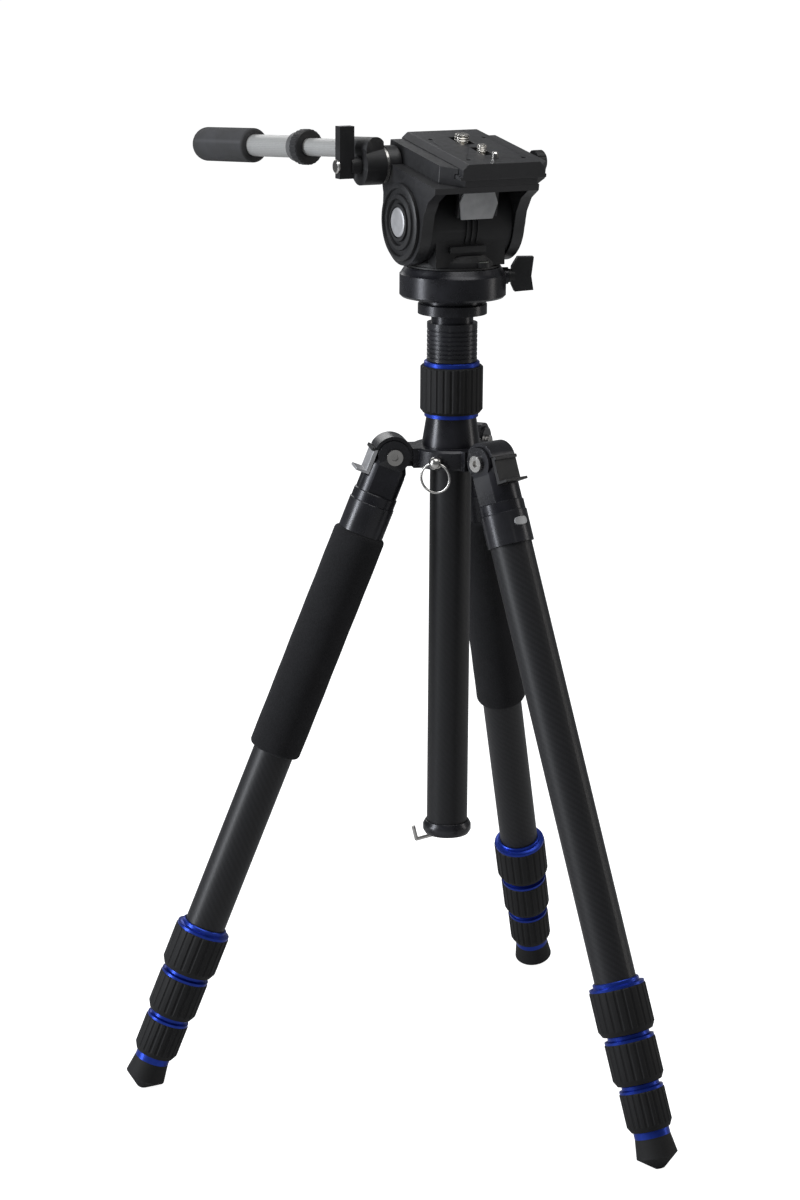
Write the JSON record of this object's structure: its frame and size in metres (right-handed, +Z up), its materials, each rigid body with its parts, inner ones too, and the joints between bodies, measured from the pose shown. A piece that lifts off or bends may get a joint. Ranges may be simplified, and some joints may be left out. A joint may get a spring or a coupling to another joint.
{
  "type": "camera tripod with fluid video head",
  "caption": "Four-section travel tripod with spread legs, a sliding centre column and a fluid video head with a sliding camera plate and a pan handle.",
  "frame": {"origin": "on the floor under the centre column's axis", "axes": "+Z up along the centre column; +X to the right of the stored view; -Y towards it"},
  "size_m": [0.3738, 0.386, 0.6596],
  "materials": {
    "carbon": "satin woven carbon fibre",
    "foam": "matte closed-cell foam",
    "lock_rubber": "matte ribbed rubber over blue anodised aluminium",
    "bright_alloy": "satin",
    "steel": "polished",
    "grey_alloy": "satin anodised grey",
    "grip_rubber": "matte",
    "badge_grey": "blank satin grey",
    "black_plastic": "satin black",
    "black_alloy": "satin black anodised or painted"
  },
  "bodies": {
    "hub": {"shoulder": "black_alloy", "hinge_bolts": "steel"},
    "ring": {"tie_ring": "steel"},
    "column_lock": {"column_lock": "lock_rubber"},
    "column": {"column_tube": "carbon", "column_top": "black_alloy", "column_cap": "black_alloy", "pan_base": "black_alloy"},
    "hook": {"hook": "steel"},
    "pan_knob": {"pan_lock": "black_plastic"},
    "head": {"head_housing": "black_alloy"},
    "cradle": {"tilt_cradle": "black_alloy", "front_badge": "badge_grey", "side_cap": "black_alloy", "plate_clamp": "black_alloy", "rosette_bolt": "steel"},
    "tilt_knob": {"tilt_knob": "black_plastic"},
    "plate_knob": {"plate_knob": "black_plastic"},
    "plate": {"camera_plate": "black_alloy"},
    "screw_big": {"screw_big": "steel"},
    "screw_small": {"screw_small": "steel"},
    "guide_pin": {"guide_pin": "steel"},
    "handle": {"handle_joint": "black_alloy", "handle_inner": "grey_alloy"},
    "lever": {"wing_lever": "black_plastic"},
    "handle_slider": {"handle_outer": "grey_alloy", "handle_grip": "grip_rubber"},
    "handle_collar": {"handle_collar": "grey_alloy"},
    "leg_left": {"leg_left_casting": "black_alloy", "leg_left_tube_1": "carbon", "leg_left_foam": "foam"},
    "leg_left_catch": {"leg_left_catch": "bright_alloy"},
    "leg_left_lock_1": {"leg_left_lock_1": "lock_rubber"},
    "leg_left_section_2": {"leg_left_tube_2": "carbon"},
    "leg_left_lock_2": {"leg_left_lock_2": "lock_rubber"},
    "leg_left_section_3": {"leg_left_tube_3": "carbon"},
    "leg_left_lock_3": {"leg_left_lock_3": "lock_rubber"},
    "leg_left_section_4": {"leg_left_tube_4": "carbon", "leg_left_foot": "lock_rubber"},
    "leg_front": {"leg_front_casting": "black_alloy", "leg_front_tube_1": "carbon"},
    "leg_front_catch": {"leg_front_catch": "black_alloy"},
    "leg_front_lock_1": {"leg_front_lock_1": "lock_rubber"},
    "leg_front_section_2": {"leg_front_tube_2": "carbon"},
    "leg_front_lock_2": {"leg_front_lock_2": "lock_rubber"},
    "leg_front_section_3": {"leg_front_tube_3": "carbon"},
    "leg_front_lock_3": {"leg_front_lock_3": "lock_rubber"},
    "leg_front_section_4": {"leg_front_tube_4": "carbon", "leg_front_foot": "lock_rubber"},
    "leg_back": {"leg_back_casting": "black_alloy", "leg_back_tube_1": "carbon", "leg_back_foam": "foam"},
    "leg_back_catch": {"leg_back_catch": "black_alloy"},
    "leg_back_lock_1": {"leg_back_lock_1": "lock_rubber"},
    "leg_back_section_2": {"leg_back_tube_2": "carbon"},
    "leg_back_lock_2": {"leg_back_lock_2": "lock_rubber"},
    "leg_back_section_3": {"leg_back_tube_3": "carbon"},
    "leg_back_lock_3": {"leg_back_lock_3": "lock_rubber"},
    "leg_back_section_4": {"leg_back_tube_4": "carbon", "leg_back_foot": "lock_rubber"}
  },
  "joints": [
    {"name": "leg_left_hinge", "type": "hinge", "parent": "hub", "child": "leg_left", "pos_m": [-0.03972, -0.00794, 0.44293], "axis": [-0.1959, 0.9806, 0], "range_deg": [-21.5, 0]},
    {"name": "leg_left_catch_pull", "type": "slide", "parent": "leg_left", "child": "leg_left_catch", "axis": [-0.9124, -0.1823, 0.3665], "range_m": [0, 0.004], "stiffness_N_per_m": 300, "springref_m": -0.002},
    {"name": "leg_left_lock_1_twist", "type": "hinge", "parent": "leg_left", "child": "leg_left_lock_1", "pos_m": [-0.1655, -0.03307, 0.11728], "axis": [-0.3594, -0.0718, -0.9304], "range_deg": [0, 90]},
    {"name": "leg_left_section_2_slide", "type": "slide", "parent": "leg_left", "child": "leg_left_section_2", "axis": [-0.3594, -0.0718, -0.9304], "range_m": [0, 0.27]},
    {"name": "leg_left_lock_2_twist", "type": "hinge", "parent": "leg_left_section_2", "child": "leg_left_lock_2", "pos_m": [-0.17819, -0.03561, 0.08444], "axis": [-0.3594, -0.0718, -0.9304], "range_deg": [0, 90]},
    {"name": "leg_left_section_3_slide", "type": "slide", "parent": "leg_left_section_2", "child": "leg_left_section_3", "axis": [-0.3594, -0.0718, -0.9304], "range_m": [0, 0.285]},
    {"name": "leg_left_lock_3_twist", "type": "hinge", "parent": "leg_left_section_3", "child": "leg_left_lock_3", "pos_m": [-0.19016, -0.038, 0.05346], "axis": [-0.3594, -0.0718, -0.9304], "range_deg": [0, 90]},
    {"name": "leg_left_section_4_slide", "type": "slide", "parent": "leg_left_section_3", "child": "leg_left_section_4", "axis": [-0.3594, -0.0718, -0.9304], "range_m": [0, 0.3]},
    {"name": "leg_front_hinge", "type": "hinge", "parent": "hub", "child": "leg_front", "pos_m": [0.02673, -0.03043, 0.44293], "axis": [-0.7513, -0.66, 0], "range_deg": [-21.5, 0]},
    {"name": "leg_front_catch_pull", "type": "slide", "parent": "leg_front", "child": "leg_front_catch", "axis": [0.6141, -0.699, 0.3665], "range_m": [0, 0.004], "stiffness_N_per_m": 300, "springref_m": -0.002},
    {"name": "leg_front_lock_1_twist", "type": "hinge", "parent": "leg_front", "child": "leg_front_lock_1", "pos_m": [0.11139, -0.12679, 0.11728], "axis": [0.2419, -0.2753, -0.9304], "range_deg": [0, 90]},
    {"name": "leg_front_section_2_slide", "type": "slide", "parent": "leg_front", "child": "leg_front_section_2", "axis": [0.2419, -0.2753, -0.9304], "range_m": [0, 0.27]},
    {"name": "leg_front_lock_2_twist", "type": "hinge", "parent": "leg_front_section_2", "child": "leg_front_lock_2", "pos_m": [0.11993, -0.13651, 0.08444], "axis": [0.2419, -0.2753, -0.9304], "range_deg": [0, 90]},
    {"name": "leg_front_section_3_slide", "type": "slide", "parent": "leg_front_section_2", "child": "leg_front_section_3", "axis": [0.2419, -0.2753, -0.9304], "range_m": [0, 0.285]},
    {"name": "leg_front_lock_3_twist", "type": "hinge", "parent": "leg_front_section_3", "child": "leg_front_lock_3", "pos_m": [0.12799, -0.14568, 0.05346], "axis": [0.2419, -0.2753, -0.9304], "range_deg": [0, 90]},
    {"name": "leg_front_section_4_slide", "type": "slide", "parent": "leg_front_section_3", "child": "leg_front_section_4", "axis": [0.2419, -0.2753, -0.9304], "range_m": [0, 0.3]},
    {"name": "leg_back_hinge", "type": "hinge", "parent": "hub", "child": "leg_back", "pos_m": [0.01299, 0.03836, 0.44293], "axis": [0.9472, -0.3206, 0], "range_deg": [-21.5, 0]},
    {"name": "leg_back_catch_pull", "type": "slide", "parent": "leg_back", "child": "leg_back_catch", "axis": [0.2983, 0.8813, 0.3665], "range_m": [0, 0.004], "stiffness_N_per_m": 300, "springref_m": -0.002},
    {"name": "leg_back_lock_1_twist", "type": "hinge", "parent": "leg_back", "child": "leg_back_lock_1", "pos_m": [0.05411, 0.15987, 0.11728], "axis": [0.1175, 0.3472, -0.9304], "range_deg": [0, 90]},
    {"name": "leg_back_section_2_slide", "type": "slide", "parent": "leg_back", "child": "leg_back_section_2", "axis": [0.1175, 0.3472, -0.9304], "range_m": [0, 0.27]},
    {"name": "leg_back_lock_2_twist", "type": "hinge", "parent": "leg_back_section_2", "child": "leg_back_lock_2", "pos_m": [0.05826, 0.17212, 0.08444], "axis": [0.1175, 0.3472, -0.9304], "range_deg": [0, 90]},
    {"name": "leg_back_section_3_slide", "type": "slide", "parent": "leg_back_section_2", "child": "leg_back_section_3", "axis": [0.1175, 0.3472, -0.9304], "range_m": [0, 0.285]},
    {"name": "leg_back_lock_3_twist", "type": "hinge", "parent": "leg_back_section_3", "child": "leg_back_lock_3", "pos_m": [0.06217, 0.18368, 0.05346], "axis": [0.1175, 0.3472, -0.9304], "range_deg": [0, 90]},
    {"name": "leg_back_section_4_slide", "type": "slide", "parent": "leg_back_section_3", "child": "leg_back_section_4", "axis": [0.1175, 0.3472, -0.9304], "range_m": [0, 0.3]},
    {"name": "tie_ring_swing", "type": "hinge", "parent": "hub", "child": "ring", "pos_m": [-0.0101, -0.02984, 0.44123], "axis": [-0.9472, 0.3206, 0], "range_deg": [-8, 95]},
    {"name": "column_lock_twist", "type": "hinge", "parent": "hub", "child": "column_lock", "pos_m": [0, 0, 0.46803], "axis": [0, 0, 1], "range_deg": [0, 90]},
    {"name": "column_slide", "type": "slide", "parent": "hub", "child": "column", "axis": [0, 0, 1], "range_m": [0, 0.245]},
    {"name": "hook_pull", "type": "slide", "parent": "column", "child": "hook", "axis": [0, 0, -1], "range_m": [0, 0.019], "stiffness_N_per_m": 300, "springref_m": -0.004},
    {"name": "pan_lock_twist", "type": "hinge", "parent": "column", "child": "pan_knob", "pos_m": [0.03694, 0.00519, 0.56143], "axis": [0.9903, 0.1392, 0], "range_deg": [-60, 60]},
    {"name": "pan", "type": "hinge", "parent": "column", "child": "head", "pos_m": [0, 0, 0.56883], "axis": [0, 0, 1], "continuous": true},
    {"name": "tilt", "type": "hinge", "parent": "head", "child": "cradle", "pos_m": [0, 0, 0.59883], "axis": [0.8829, 0.4695, 0], "range_deg": [-79, 36]},
    {"name": "tilt_knob_twist", "type": "hinge", "parent": "cradle", "child": "tilt_knob", "pos_m": [0.03355, 0.01784, 0.59883], "axis": [0.8829, 0.4695, 0], "range_deg": [-180, 180]},
    {"name": "plate_knob_twist", "type": "hinge", "parent": "cradle", "child": "plate_knob", "pos_m": [0.05008, 0.01082, 0.63585], "axis": [0.8829, 0.4695, 0], "range_deg": [-180, 180]},
    {"name": "plate_slide", "type": "slide", "parent": "cradle", "child": "plate", "axis": [0.4637, -0.8721, -0.1564], "range_m": [-0.02, 0.02]},
    {"name": "screw_big_turn", "type": "hinge", "parent": "plate", "child": "screw_big", "pos_m": [0.00497, 0.01195, 0.64923], "axis": [0.0734, -0.1381, 0.9877], "continuous": true},
    {"name": "screw_small_turn", "type": "hinge", "parent": "plate", "child": "screw_small", "pos_m": [0.01796, -0.01247, 0.64485], "axis": [0.0734, -0.1381, 0.9877], "continuous": true},
    {"name": "guide_pin_press", "type": "slide", "parent": "plate", "child": "guide_pin", "axis": [-0.0734, 0.1381, -0.9877], "range_m": [0, 0.0035], "stiffness_N_per_m": 300, "springref_m": -0.003},
    {"name": "handle_angle", "type": "hinge", "parent": "cradle", "child": "handle", "pos_m": [-0.04912, 0.00548, 0.63362], "axis": [0.8829, 0.4695, 0], "range_deg": [-60, 45]},
    {"name": "lever_twist", "type": "hinge", "parent": "cradle", "child": "lever", "pos_m": [-0.06193, -0.00133, 0.63362], "axis": [0.8829, 0.4695, 0], "range_deg": [-45, 90]},
    {"name": "handle_slide", "type": "slide", "parent": "handle", "child": "handle_slider", "axis": [-0.633, 0.7719, -0.0589], "range_m": [0, 0.085]},
    {"name": "handle_collar_twist", "type": "hinge", "parent": "handle_slider", "child": "handle_collar", "pos_m": [-0.097, 0.05158, 0.64042], "axis": [-0.633, 0.7719, -0.0589], "range_deg": [0, 90]}
  ]
}
